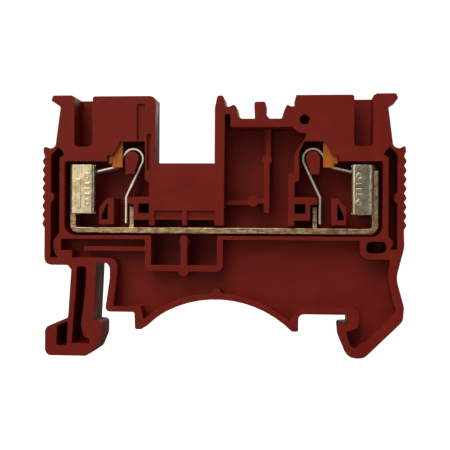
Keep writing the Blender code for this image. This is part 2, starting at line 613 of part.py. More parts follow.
def make_current_bar():
    """One bent copper bar: a flat run, an upturned end in each cage and a tab behind each spring."""
    inner = CAGE_OUT - BAR_THICK
    end_top = CAGE_TOP - 0.75
    profile = rounded([
        (-CAGE_OUT, end_top), (-CAGE_OUT, BAR_BOTTOM, BAR_BEND_R), (CAGE_OUT, BAR_BOTTOM, BAR_BEND_R),
        (CAGE_OUT, end_top), (inner, end_top), (inner, BAR_TOP, BAR_BEND_R - BAR_THICK),
        (-inner, BAR_TOP, BAR_BEND_R - BAR_THICK), (-inner, end_top)])
    middle = (CAGE_FRONT + CAGE_BACK) / 2
    bar = prism("current_bar", profile, middle - BAR_END_WIDTH / 2, middle + BAR_END_WIDTH / 2)
    flat = CAGE_IN - 0.5
    join(bar, block("flat_run", -flat, flat, FRONT + BAR_FRONT_GAP, FLOOR - FIT, BAR_BOTTOM, BAR_TOP))
    tab_out = PIVOT_A + FOOT_OFFSET - STRIP / 2 - FIT
    for side in (-1, 1):
        tab = block("tab", side * (tab_out - TAB_THICK), side * tab_out, STRIP_FRONT + 0.3,
                    STRIP_BACK - 0.3, BAR_TOP - BAR_THICK / 2, BAR_TOP + TAB_HEIGHT)
        join(bar, tab)
    for left, right in bridge_shaft_spans():
        centre = (left + right) / 2
        cut(bar, block("bridge_slot", centre - 1.2, centre + 1.2, -1.2, 0.5,
                       BAR_BOTTOM - THROUGH, BAR_TOP + THROUGH))
    return bar


def make_clamp_cage(name, side):
    """A folded sleeve of sheet round the wire, open to the leg and hooked over the bar's end."""
    a0, a1 = sorted((side * CAGE_IN, side * CAGE_OUT))
    cage = prism(name, rectangle(a0, a1, CAGE_FRONT, CAGE_BACK, 0.35), CAGE_BOTTOM, CAGE_TOP, "Z")
    front, back = CAGE_FRONT + CAGE_SHEET, CAGE_BACK - CAGE_SHEET
    low, high = CAGE_BOTTOM - THROUGH, CAGE_TOP + THROUGH
    cut(cage, block("bore", a0 + CAGE_SHEET, a1 - CAGE_SHEET, front, back, low, high))
    leg_window = (side * (CAGE_IN - THROUGH), side * (CAGE_IN + CAGE_SHEET + 0.1))
    window_low = min(open_leg(leg_tip())[1] - 0.4, CAGE_TOP - 4.0)
    cut(cage, block("leg_window", *leg_window, front, back, window_low, CAGE_TOP - 0.45))
    bar_window = (side * (CAGE_OUT - CAGE_SHEET - 0.1), side * (CAGE_OUT + THROUGH))
    cut(cage, block("bar_window", *bar_window, front, back, low, CAGE_TOP - 0.45))
    return cage


def make_clamp_spring(name, side):
    """The fixed half of a clamp spring: its foot on the bar and the first half of the bow."""
    foot_a = PIVOT_A + FOOT_OFFSET
    shoulder = (foot_a, PIVOT_Z - 5.15, 0.6)
    path = [(foot_a, BAR_TOP + SPRING_LIFT), shoulder]
    path += arc(pivot(), BOW_R, tangent_angle(shoulder, -1) + 360, SPLIT_ANGLE + 6, 12)
    path = rounded(path, closed=False)
    return prism(name, placed(ribbon(path, STRIP), side), STRIP_FRONT, STRIP_BACK)


def make_spring_leg(name, side):
    """The moving half of a clamp spring: the rest of the bow, the knee and the clamping leg."""
    path = arc(pivot(), BOW_R, SPLIT_ANGLE - 6, tangent_angle(knee(), 1), 12)
    path += [(*knee(), 0.35), leg_tip()]
    path = rounded(path, closed=False)
    leg = prism(name, placed(ribbon(path, STRIP), side), STRIP_FRONT, STRIP_BACK)
    move_origin(leg, side * PIVOT_A, 0.0, PIVOT_Z)
    return leg


# ---------------------------------------------------------------- push buttons

def make_push_button(name, side):
    """Head, stem beside the spring's steep leg, and a cheek in front of it."""
    touch = math.radians(tangent_angle(knee(), 1))
    contact = (PIVOT_A + BOW_R * math.cos(touch), PIVOT_Z + BOW_R * math.sin(touch))
    slope = (knee()[0] - contact[0]) / (contact[1] - knee()[1])
    # the stem's slanted edge runs along the steep leg and starts clear of the bow
    reach = BOW_R + STRIP / 2 + LEG_GAP
    edge = (PIVOT_A + reach * math.cos(touch), PIVOT_Z + reach * math.sin(touch))
    inner = PIVOT_A + BOW_R + STRIP / 2 + BOW_GAP
    bottom = knee()[1] + 0.4
    stem = [(STEM_OUT, bottom), (STEM_OUT, HEAD_BOTTOM + 0.5), (inner, HEAD_BOTTOM + 0.5),
            (inner, edge[1] - (inner - edge[0]) / slope), (edge[0] + slope * (edge[1] - bottom), bottom)]
    button = prism(name, placed(stem, side), BUTTON_FRONT, BUTTON_BACK)
    cheek = [(STEM_IN, bottom - 0.5), (STEM_OUT - 0.5, bottom - 0.5), (STEM_OUT - 0.5, PIVOT_Z + 2.4),
             (STEM_IN, PIVOT_Z + 2.4)]
    join(button, prism("cheek", placed(cheek, side), BUTTON_FRONT, BUTTON_FRONT + CHEEK_THICK))
    middle = (STEM_IN + STEM_OUT) / 2
    head = (side * (middle - HEAD_WIDTH / 2), side * (middle + HEAD_WIDTH / 2))
    join(button, block("head", *head, BUTTON_FRONT, BUTTON_BACK, HEAD_BOTTOM, HEAD_TOP))
    centre = (BUTTON_FRONT + BUTTON_BACK) / 2
    slot = (head[0] - side * THROUGH, head[1] + side * THROUGH)
    cut(button, block("blade_slot", *slot, centre - 0.4, centre + 0.4, HEAD_TOP - 0.7, HEAD_TOP + THROUGH))
    move_origin(button, side * middle, centre, HEAD_TOP)
    return button


# ---------------------------------------------------------------- assembly

def main():
    for old in list(bpy.data.objects):
        bpy.data.objects.remove(old, do_unlink=True)
    red = material("housing_red", (0.17, 0.018, 0.018), 0.5, 0.0)
    tin = material("tinned_copper", (0.60, 0.47, 0.33), 0.35, 1.0)
    nickel = material("nickel_sheet", (0.62, 0.60, 0.56), 0.3, 1.0)
    steel = material("spring_steel", (0.65, 0.62, 0.58), 0.25, 1.0)
    orange = material("button_orange", (0.80, 0.27, 0.03), 0.45, 0.0)
    make_housing().data.materials.append(red)
    make_snap_foot().data.materials.append(red)
    make_current_bar().data.materials.append(tin)
    for side, word in ((-1, "left"), (1, "right")):
        make_clamp_cage("clamp_cage_" + word, side).data.materials.append(nickel)
        make_clamp_spring("clamp_spring_" + word, side).data.materials.append(steel)
        make_spring_leg("spring_leg_" + word, side).data.materials.append(steel)
        make_push_button("push_button_" + word, side).data.materials.append(orange)


main()
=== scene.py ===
"""Looks of the push-in feed-through terminal block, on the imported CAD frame.

Sizes are in millimetres unless a name or a comment says otherwise. The springs are mirror
images, so their shape is given as (a, z), where a is the distance outwards from the block's middle.
"""
import json
import math

import bmesh
import bpy
from mathutils import Euler, Matrix, Vector


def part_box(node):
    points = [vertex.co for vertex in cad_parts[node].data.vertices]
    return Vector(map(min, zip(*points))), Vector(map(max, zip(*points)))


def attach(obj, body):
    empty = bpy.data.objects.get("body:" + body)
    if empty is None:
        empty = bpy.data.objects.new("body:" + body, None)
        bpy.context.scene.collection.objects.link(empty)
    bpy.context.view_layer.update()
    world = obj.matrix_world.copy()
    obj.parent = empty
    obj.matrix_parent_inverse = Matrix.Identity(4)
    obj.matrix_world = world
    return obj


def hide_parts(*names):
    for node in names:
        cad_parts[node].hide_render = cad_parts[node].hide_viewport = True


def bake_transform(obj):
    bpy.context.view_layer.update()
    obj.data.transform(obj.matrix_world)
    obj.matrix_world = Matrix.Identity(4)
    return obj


MM = 0.001
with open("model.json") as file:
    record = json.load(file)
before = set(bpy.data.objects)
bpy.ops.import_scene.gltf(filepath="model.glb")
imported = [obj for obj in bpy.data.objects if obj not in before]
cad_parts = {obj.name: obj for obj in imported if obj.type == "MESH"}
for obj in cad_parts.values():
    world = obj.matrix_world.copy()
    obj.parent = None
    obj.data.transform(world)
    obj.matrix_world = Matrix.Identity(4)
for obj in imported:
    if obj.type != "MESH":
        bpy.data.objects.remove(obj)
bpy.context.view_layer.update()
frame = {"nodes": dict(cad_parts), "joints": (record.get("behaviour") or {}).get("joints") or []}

# Where the CAD has things
HINGE = {joint["child"]: [value / MM for value in joint["pos_m"]]
         for joint in frame["joints"] if joint["type"] == "hinge"}
PIVOT_A, PIVOT_Z = HINGE["leg_right"][0], HINGE["leg_right"][2]
FOOT_X, FOOT_Z = HINGE["foot"][0], HINGE["foot"][2]
SIDES = ((-1, "left"), (1, "right"))

# Rounded edges, as radii
BUTTON_EDGE = 0.16
BAR_EDGE = 0.1
STRIP_EDGE = 0.05

# Limits of the shape tools
STRAIGHT = math.radians(2)            # a corner that turns less stays as it is
SIDE_SHARE = 0.48                     # share of a side that one rounded corner may take
SHARP = math.radians(32)              # an edge that turns less is shaded smooth
FLAT = math.radians(0.5)              # faces that turn less count as one flat face
WELD = 1e-6                           # metres within which two points are one
PAST = 1.0                            # how far a cutter reaches past what it cuts
ROOTED = 0.1                          # how deep a raised mark reaches into its sheet


def cad_size(node):
    low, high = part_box(node)
    return [value / MM for value in low], [value / MM for value in high]


# ---------------------------------------------------------------- outlines

def arc(centre, radius, start, end, step=7.5):
    """Points on a circle from start to end, in degrees."""
    count = max(2, math.ceil(abs(end - start) / step))
    angles = [math.radians(start + (end - start) * i / count) for i in range(count + 1)]
    return [(centre[0] + radius * math.cos(t), centre[1] + radius * math.sin(t)) for t in angles]


def circle(centre, radius, last=352, step=7.5):
    """A circle's outline up to its last point, in degrees, from where it closes."""
    return arc(centre, radius, 0, last, step)


def rectangle(left, right, low, high, *radius):
    """The outline of a rectangle, or of one with rounded corners where a radius is given."""
    return rounded([(left, low, *radius), (right, low, *radius),
                    (right, high, *radius), (left, high, *radius)])


def corner(before, point, after, radius):
    """The arc that rounds one corner, shortened where its sides are too short for the radius."""
    back, ahead = Vector(before[:2]) - Vector(point[:2]), Vector(after[:2]) - Vector(point[:2])
    turn = math.pi - back.angle(ahead)
    if turn < STRAIGHT:
        return [tuple(point[:2])]
    cut = min(radius * math.tan(turn / 2), SIDE_SHARE * back.length, SIDE_SHARE * ahead.length)
    radius = cut / math.tan(turn / 2)
    middle = (back.normalized() + ahead.normalized()).normalized()
    centre = Vector(point[:2]) + middle * math.hypot(radius, cut)
    first = Vector(point[:2]) + back.normalized() * cut - centre
    last = Vector(point[:2]) + ahead.normalized() * cut - centre
    start = math.atan2(first.y, first.x)
    sweep = (math.atan2(last.y, last.x) - start + math.pi) % (2 * math.pi) - math.pi
    return arc(centre, radius, math.degrees(start), math.degrees(start + sweep))


def rounded(points, closed=True):
    """An outline from (x, z) points and (x, z, radius) points whose corner is rounded."""
    result = []
    for i, point in enumerate(points):
        if len(point) == 3 and (closed or 0 < i < len(points) - 1):
            result += corner(points[i - 1], point, points[(i + 1) % len(points)], point[2])
        else:
            result.append(tuple(point[:2]))
    return result


def ribbon(path, thickness):
    """The outline of a strip of even thickness along an open path."""
    near, far = [], []
    for i, point in enumerate(path):
        run = Vector(path[min(i + 1, len(path) - 1)]) - Vector(path[max(i - 1, 0)])
        normal = Vector((-run.y, run.x)).normalized() * thickness / 2
        near.append((point[0] + normal.x, point[1] + normal.y))
        far.append((point[0] - normal.x, point[1] - normal.y))
    return near + far[::-1]


# ---------------------------------------------------------------- meshes

def new_object(name, build):
    """An object from a bmesh in metres, which is freed."""
    mesh = bpy.data.meshes.new(name)
    build.to_mesh(mesh)
    build.free()
    piece = bpy.data.objects.new(name, mesh)
    bpy.context.scene.collection.objects.link(piece)
    return piece


def prism(name, outline, low, high, axis="Y"):
    """An outline swept along one axis. Its two coordinates are the other two axes, in order."""
    build = bmesh.new()
    verts = []
    for first, second in outline:
        spot = {"X": (low, first, second), "Y": (first, low, second), "Z": (first, second, low)}[axis]
        verts.append(build.verts.new(Vector(spot) * MM))
    swept = bmesh.ops.extrude_face_region(build, geom=[build.faces.new(verts)])
    moved = [item for item in swept["geom"] if isinstance(item, bmesh.types.BMVert)]
    shift = Vector([(high - low) * MM if letter == axis else 0.0 for letter in "XYZ"])
    bmesh.ops.translate(build, verts=moved, vec=shift)
    bmesh.ops.recalc_face_normals(build, faces=build.faces)
    return new_object(name, build)


def combine(target, tool, operation):
    """Cut the tool out of the target, or join it on, and remove the tool."""
    modifier = target.modifiers.new("shape", "BOOLEAN")
    modifier.operation = operation
    modifier.solver = "EXACT"
    modifier.object = tool
    bake(target)
    bpy.data.objects.remove(tool, do_unlink=True)


def bake(target):
    """Make the modifiers' result the object's own mesh."""
    graph = bpy.context.evaluated_depsgraph_get()
    mesh = bpy.data.meshes.new_from_object(target.evaluated_get(graph))
    target.modifiers.clear()
    target.data = mesh


def copy_node(node, name):
    """A free copy of a CAD node with whole flat faces, to be refined."""
    build = bmesh.new()
    build.from_mesh(frame["nodes"][node].data)
    bmesh.ops.remove_doubles(build, verts=build.verts, dist=WELD)
    piece = new_object(name, build)
    for layer in ("custom_normal", "sharp_edge", "sharp_face"):
        if layer in piece.data.attributes:
            piece.data.attributes.remove(piece.data.attributes[layer])
    merge_flat(piece)
    return piece


def merge_flat(piece):
    """Lay out the triangles of each flat face afresh, without needless points."""
    build = bmesh.new()
    build.from_mesh(piece.data)
    bmesh.ops.dissolve_limit(build, angle_limit=FLAT, verts=build.verts, edges=build.edges)
    bmesh.ops.triangulate(build, faces=build.faces)
    build.to_mesh(piece.data)
    build.free()


def shade(piece):
    """Shade the curves smooth between sharp edges, and give the outer sharp edges a bevel weight."""
    build = bmesh.new()
    build.from_mesh(piece.data)
    weight = build.edges.layers.float.new("bevel_weight_edge")
    for edge in build.edges:
        edge.smooth = len(edge.link_faces) == 2 and edge.calc_face_angle(0.0) < SHARP
        edge[weight] = 0.0 if edge.smooth or not edge.is_convex else 1.0
    for face in build.faces:
        face.smooth = True
    build.to_mesh(piece.data)
    build.free()


def soften(piece, radius, segments=2):
    """Round the outer sharp edges."""
    shade(piece)
    bevel = piece.modifiers.new("edges", "BEVEL")
    bevel.limit_method = "WEIGHT"
    bevel.width = radius * MM
    bevel.segments = segments
    bevel.use_clamp_overlap = False
    bevel.harden_normals = True
    bake(piece)


# ---------------------------------------------------------------- materials

ROUND_OVER = 0.1                      # radius by which shading softens every edge
SOFT_SAMPLES = 6
EDGE_STARTS, EDGE_FULL = 0.995, 0.85  # cosines between the softened normal and the plain one
SOFT, CLEAR = (0.3, 0.7), (0.35, 0.65)     # the stretch of a noise that is spread over 0 to 1


class Finish:
    """A Principled material whose textures are laid out in the object's own millimetres."""

    def __init__(self, name, metallic=0.0):
        self.material = bpy.data.materials.new(name)
        self.material.use_nodes = True
        tree = self.material.node_tree
        self.nodes, self.links = tree.nodes, tree.links
        self.shader = self.nodes["Principled BSDF"]
        self.shader.inputs["Metallic"].default_value = metallic
        place = self.nodes.new("ShaderNodeTexCoord")
        scale = self.nodes.new("ShaderNodeVectorMath")
        scale.operation = "SCALE"
        scale.inputs["Scale"].default_value = 1 / MM
        self.links.new(place.outputs["Object"], scale.inputs[0])
        self.place = scale.outputs[0]
        soft = self.nodes.new("ShaderNodeBevel")
        soft.samples = SOFT_SAMPLES
        soft.inputs["Radius"].default_value = ROUND_OVER * MM
        self.soft_normal = soft.outputs["Normal"]
        self.normal = self.soft_normal
        self.links.new(self.normal, self.shader.inputs["Normal"])

    def stretched(self, x, y, z):
        """The place, in millimetres, stretched so that a pattern runs along an axis."""
        node = self.nodes.new("ShaderNodeVectorMath")
        node.operation = "MULTIPLY"
        node.inputs[1].default_value = (x, y, z)
        self.links.new(self.place, node.inputs[0])
        return node.outputs[0]

    def noise(self, size, detail=2.0, stretch=CLEAR, place=None):
        """A noise with features of that size in millimetres, as a value from 0 to 1."""
        node = self.nodes.new("ShaderNodeTexNoise")
        node.inputs["Scale"].default_value = 1 / size
        node.inputs["Detail"].default_value = detail
        self.links.new(place or self.place, node.inputs["Vector"])
        return self.fit(node.outputs["Fac"], *stretch, 0.0, 1.0)

    def fit(self, value, low, high, first, last):
        """The value's range from low to high, mapped on first to last and held there."""
        node = self.nodes.new("ShaderNodeMapRange")
        for socket, number in zip(node.inputs[1:5], (low, high, first, last)):
            socket.default_value = number
        self.links.new(value, node.inputs[0])
        return node.outputs[0]

    def part(self, value, amount):
        """A value from 0 to 1, scaled down so that it reaches only that amount."""
        return self.fit(value, 0.0, 1.0, 0.0, amount)

    def edges(self, amount):
        """From 0 on flat faces to that amount on edges, inner and outer alike: the mask for the pale edges
        the materials paint, a painted highlight, and on the housing also rubbed wear.
        """
        normal = self.nodes.new("ShaderNodeNewGeometry").outputs["Normal"]
        angle = self.nodes.new("ShaderNodeVectorMath")
        angle.operation = "DOT_PRODUCT"
        self.links.new(self.soft_normal, angle.inputs[0])
        self.links.new(normal, angle.inputs[1])
        return self.fit(angle.outputs["Value"], EDGE_STARTS, EDGE_FULL, 0.0, amount)

    def mix(self, factor, first, last):
        """A colour between two, each given as three numbers or as a socket."""
        node = self.nodes.new("ShaderNodeMix")
        node.data_type = "RGBA"
        self.links.new(factor, node.inputs[0])
        for socket, colour in ((node.inputs[6], first), (node.inputs[7], last)):
            if isinstance(colour, tuple):
                socket.default_value = (*colour, 1.0)
            else:
                self.links.new(colour, socket)
        return node.outputs[2]

    def colour(self, socket):
        self.links.new(socket, self.shader.inputs["Base Color"])

    def roughness(self, value, low, high):
        self.links.new(self.fit(value, 0.0, 1.0, low, high), self.shader.inputs["Roughness"])

    def bump(self, value, depth, strength=1.0):
        """Raise the surface by depth millimetres where the value is 1, on top of earlier bumps."""
        node = self.nodes.new("ShaderNodeBump")
        node.inputs["Distance"].default_value = depth * MM
        node.inputs["Strength"].default_value = strength
        self.links.new(value, node.inputs["Height"])
        self.links.new(self.normal, node.inputs["Normal"])
        self.normal = node.outputs["Normal"]
        self.links.new(self.normal, self.shader.inputs["Normal"])


def moulded_red():
    """Glass-filled polyamide: cloudy flow marks, fine spark-eroded grain, and edges painted paler, partly
    as rubbed wear and partly as a painted highlight.
    """
    finish = Finish("housing_red")
    cloud = finish.noise(3.5, 3.0, SOFT)
    flow = finish.noise(1.2, 2.0, SOFT, finish.stretched(0.35, 1.0, 1.0))
    grain = finish.noise(0.07, 1.0)
    base = finish.mix(cloud, (0.156, 0.0090, 0.0042), (0.190, 0.0118, 0.0062))
    base = finish.mix(finish.part(flow, 0.35), base, (0.215, 0.0170, 0.0100))
    base = finish.mix(finish.part(grain, 0.12), base, (0.10, 0.008, 0.007))
    # every edge, inner ones too, is painted paler: partly rubbed wear, partly a painted highlight
    base = finish.mix(finish.edges(0.3), base, (0.30, 0.045, 0.036))
    finish.colour(base)
    finish.roughness(cloud, 0.42, 0.56)
    finish.bump(grain, 0.006, 0.5)
    finish.bump(finish.noise(1.6, 2.0, SOFT), 0.03, 0.35)
    finish.shader.inputs["Specular IOR Level"].default_value = 0.14
    return finish.material


def moulded_orange():
    """Smoother, slightly translucent plastic of the push buttons."""
    finish = Finish("button_orange")
    cloud = finish.noise(0.9, 3.0, SOFT)
    grain = finish.noise(0.05, 1.0)
    base = finish.mix(cloud, (0.40, 0.098, 0.001), (0.50, 0.145, 0.003))
    # every edge, inner ones too, is painted paler: a painted highlight
    base = finish.mix(finish.edges(0.4), base, (0.72, 0.30, 0.03))
    finish.colour(base)
    finish.roughness(cloud, 0.36, 0.48)
    finish.shader.inputs["Specular IOR Level"].default_value = 0.3
    finish.bump(grain, 0.004, 0.4)
    finish.shader.inputs["Subsurface Weight"].default_value = 0.12
    finish.shader.inputs["Subsurface Scale"].default_value = 0.0006
    finish.shader.inputs["Subsurface Radius"].default_value = (1.0, 0.45, 0.15)
    return finish.material


def tinned_bar():
    """Sheared, tin-plated copper: uneven warm plating, brown where it is thin, with a painted highlight on
    its edges.
    """
    finish = Finish("tinned_copper", 0.85)
    plate = finish.noise(0.5, 4.0, CLEAR)
    patches = finish.noise(1.3, 3.0, (0.45, 0.56), finish.stretched(1.0, 1.0, 3.0))
    specks = finish.noise(0.16, 3.0, (0.58, 0.66))
    rolled = finish.noise(0.14, 2.0, CLEAR, finish.stretched(0.08, 1.0, 1.0))
    base = finish.mix(plate, (0.34, 0.18, 0.085), (0.62, 0.44, 0.26))
    base = finish.mix(finish.part(patches, 0.5), base, (0.80, 0.66, 0.44))
    base = finish.mix(finish.part(rolled, 0.6), base, (0.17, 0.085, 0.04))
    # every edge is painted bright beige: a painted highlight
    base = finish.mix(finish.edges(0.8), base, (0.92, 0.80, 0.60))
    base = finish.mix(finish.part(specks, 0.85), base, (0.10, 0.045, 0.025))
    finish.colour(base)
    finish.roughness(plate, 0.26, 0.46)
    finish.bump(patches, 0.03, 0.5)
    finish.bump(plate, 0.015, 0.5)
    finish.bump(rolled, 0.01, 0.5)
    return finish.material


def nickel_sheet():
    """Bright stamped sheet, brassy where the plating is thin, with drawing marks along its folds."""
    finish = Finish("nickel_sheet", 0.92)
    cloud = finish.noise(0.9, 3.0, CLEAR)
    drawn = finish.noise(0.12, 2.0, SOFT, finish.stretched(1.0, 1.0, 0.08))
    base = finish.mix(cloud, (0.44, 0.36, 0.21), (0.68, 0.62, 0.46))
    base = finish.mix(finish.part(drawn, 0.35), base, (0.44, 0.40, 0.31))
    # every edge and fold is painted near white: a painted highlight
    base = finish.mix(finish.edges(0.5), base, (0.95, 0.93, 0.88))
    finish.colour(base)
    finish.roughness(drawn, 0.17, 0.3)
    finish.bump(drawn, 0.004, 0.35)
    finish.bump(cloud, 0.03, 0.4)
    return finish.material


def spring_steel():
    """Cold-rolled strip with a bright, slightly combed surface."""
    finish = Finish("spring_steel", 0.72)
    cloud = finish.noise(0.6, 2.0, SOFT)
    rolled = finish.noise(0.06, 2.0, SOFT, finish.stretched(1.0, 0.1, 1.0))
    base = finish.mix(cloud, (0.68, 0.63, 0.56), (0.82, 0.78, 0.71))
    finish.colour(base)
    finish.roughness(rolled, 0.18, 0.32)
    finish.bump(rolled, 0.004, 0.4)
    return finish.material


RED, ORANGE = moulded_red(), moulded_orange()
TIN, NICKEL, STEEL = tinned_bar(), nickel_sheet(), spring_steel()


def finish_piece(piece, material, slot, body, *nodes):
    """Give a finished piece its material and its place in the frame."""
    piece.data.materials.clear()
    piece.data.materials.append(material)
    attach(piece, body)
    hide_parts(*nodes)


# ---------------------------------------------------------------- housing and snap foot

HOUSING_LOW, HOUSING_HIGH = cad_size("housing")
FRONT, BACK = HOUSING_LOW[1], HOUSING_HIGH[1]
FLOOR = BACK - 0.7                    # where the pockets end
ROOT_Z = FOOT_Z + 2.0                 # where the snap foot hangs from the housing
SHOULDER_Z = 6.2                      # underside of the housing beside the foot's stem
STEM_LEFT, STEM_RIGHT = FOOT_X - 1.7, FOOT_X + 1.7
SLOT_LEFT, SLOT_RIGHT = FOOT_X - 0.95, FOOT_X + 0.35     # the pocket in the stem and above it
SOLE_Z = cad_size("snap_foot")[0][2]
BEND_RINGS = (0.4, 0.9, 1.4, 1.9)     # depths below the root with points of their own
FILLET_R = SHOULDER_Z - ROOT_Z
FILLET_LAP = 0.2                      # how deep the fillet reaches into the housing
EJECTORS = ((-19.3, 13.0), (19.3, 13.0), (-12.6, 25.0), (12.6, 25.0), (-5.0, 10.5), (5.0, 10.5), (0.0, 4.2))
EJECTOR_R, EJECTOR_DEPTH = 1.1, 0.06


def make_housing():
    """The housing of the CAD, with a fillet and a slot above the foot and ejector marks on its back."""
    housing = copy_node("housing", "housing_body")
    fillet = [(STEM_LEFT + FILLET_LAP, SHOULDER_Z + FILLET_LAP), (STEM_LEFT - 0.9, SHOULDER_Z + FILLET_LAP),
              (STEM_LEFT - 0.9, SHOULDER_Z)]
    fillet += arc((STEM_LEFT - FILLET_R, ROOT_Z), FILLET_R, 90, 0)
    fillet += [(STEM_LEFT + FILLET_LAP, ROOT_Z)]
    combine(housing, prism("fillet", fillet, FRONT, BACK), "UNION")
    slot = rounded([(SLOT_LEFT, SHOULDER_Z - 0.15, 0.4), (SLOT_RIGHT, SHOULDER_Z - 0.15, 0.4),
                    (SLOT_RIGHT, ROOT_Z - PAST), (SLOT_LEFT, ROOT_Z - PAST)])
    combine(housing, prism("slot", slot, FRONT - PAST, FLOOR), "DIFFERENCE")
    for spot in EJECTORS:
        mark = prism("mark", circle(spot, EJECTOR_R, 345, 15), BACK - EJECTOR_DEPTH, BACK + PAST)
        combine(housing, mark, "DIFFERENCE")
    shade(housing)
    finish_piece(housing, RED, "housing_plastic", "base", "housing")


def make_snap_foot():
    """The springy foot, one moulding with the housing, with extra rings of points just below its root."""
    x, sole = FOOT_X, SOLE_Z
    outline = [(STEM_LEFT, ROOT_Z), (STEM_RIGHT, ROOT_Z), (STEM_RIGHT - 0.3, -1.25), (x + 2.45, -1.3, 0.6),
               (x + 2.45, -3.2, 1.2), (x + 1.7, sole + 0.9, 1.0), (x + 0.4, sole, 1.0),
               (x - 5.25, sole, 0.9), (x - 5.25, sole + 3.8, 0.9), (x - 2.1, sole + 5.15, 0.3)]
    foot = prism("foot_body", rounded(outline), FRONT, BACK)
    stem_pocket = [(SLOT_LEFT, ROOT_Z + PAST), (SLOT_RIGHT, ROOT_Z + PAST), (SLOT_RIGHT, FOOT_Z + 0.5),
                   (x + 0.1, FOOT_Z - 2.2), (x - 0.3, FOOT_Z - 5.5, 0.5), (x + 0.1, FOOT_Z - 7.05, 0.5),
                   (x + 0.85, FOOT_Z - 7.25), (x + 0.85, sole + 1.65), (x - 1.6, sole + 1.65, 0.1),
                   (x - 1.0, FOOT_Z + 0.5)]
    toe_pocket = [(x - 3.6, sole + 4.0), (x - 2.1, sole + 4.65), (x - 2.25, sole + 1.3, 0.3),
                  (x - 3.7, sole + 1.3, 0.3)]
    for pocket in (stem_pocket, toe_pocket):
        combine(foot, prism("pocket", rounded(pocket), FRONT - PAST, FLOOR), "DIFFERENCE")
    for depth in BEND_RINGS:
        slice_across(foot, ROOT_Z - depth)
    shade(foot)
    foot.data.materials.append(RED)
    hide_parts("snap_foot")
    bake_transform(foot)


def slice_across(piece, height):
    """Add a ring of points at that height, so that the piece can bend there."""
    build = bmesh.new()
    build.from_mesh(piece.data)
    parts = build.verts[:] + build.edges[:] + build.faces[:]
    bmesh.ops.bisect_plane(build, geom=parts, plane_co=(0, 0, height * MM), plane_no=(0, 0, 1))
    build.to_mesh(piece.data)
    build.free()


make_housing()
make_snap_foot()


# ---------------------------------------------------------------- bar and buttons

bar = copy_node("current_bar", "bar_body")
soften(bar, BAR_EDGE)
finish_piece(bar, TIN, "tinned_bar", "base", "current_bar")
for side, word in SIDES:
    button = copy_node("push_button_" + word, "button_body_" + word)
    soften(button, BUTTON_EDGE, 3)
    finish_piece(button, ORANGE, "button_plastic", "button_" + word, "push_button_" + word)


# ---------------------------------------------------------------- clamp cages

SHEET = 0.4
TIGHT_FOLD = 0.5                      # outer radius of the other three folds
BAR_FOLD = {"left": 0.65, "right": 2.0}     # outer radius of the front fold beside the bar's end
BAR_SHOWS = {"left": 0.0, "right": 0.62}    # width of the bar's end that the sleeve leaves bare
LEG_SLOT = (0.5, 1.1)                 # the slot in the leg's side, from and to behind the front
LEG_OPEN = 1.0                        # behind this depth that side is open, and as far inwards
RIM = 0.45                            # sheet left above and below the slot, and behind the bar's window
BAR_LIP = 0.6                         # front edge of the bar's window where the bar is covered
BAR_ROOF = 0.5                        # sheet left above the bar's window
CORNER_R, CORNER_ZONE = 0.45, 0.8     # rounded corners of the front sheet and the zone they are cut in
CORNER_DEPTH = SHEET + 0.05           # just through the front sheet
CORNER_SPARE = 0.01                   # keeps the corners' outline off the wall's own face
RELIEF = 0.06                         # height of the stamped marks; the rest are their places and sizes
RELIEF_IN, RING_R, RING_HOLE, RING_UP = 1.05, 0.42, 0.22, 1.75
DASH_UP, DASH_HALF, STAMP_CORNER = 0.7, 0.13, 0.1
LANCE_IN, LANCE_HALF, LANCE_FOOT, LANCE_HEAD = 1.3, 0.35, 0.7, 1.9


def cage_plan(reach, front, back, fold, inset):
    """The sleeve's plan, or its bore's, as (distance outwards from its middle, y)."""
    near, far = -reach + inset, reach - inset
    tight = TIGHT_FOLD - inset
    return rounded([(near, front + inset, tight), (far, front + inset, fold - inset),
                    (far, back - inset, tight), (near, back - inset, tight)])


def stamp(cage, x0, x1, z0, z1, front):
    """A raised rectangle with rounded corners on the sheet's front."""
    outline = rectangle(x0, x1, z0, z1, STAMP_CORNER)
    combine(cage, prism("stamp", outline, front - RELIEF, front + ROOTED), "UNION")


def stamp_rings(cage, x, centre_z, front):
    """Two raised rings, one above the other, with three short bars between them."""
    for z in (centre_z - RING_UP, centre_z + RING_UP):
        ring = prism("ring", circle((x, z), RING_R), front - RELIEF, front + ROOTED)
        combine(ring, prism("hole", circle((x, z), RING_HOLE), front - PAST, front + PAST), "DIFFERENCE")
        combine(cage, ring, "UNION")
    for z in (centre_z - DASH_UP, centre_z, centre_z + DASH_UP):
        stamp(cage, x - RING_R, x + RING_R, z - DASH_HALF, z + DASH_HALF, front)


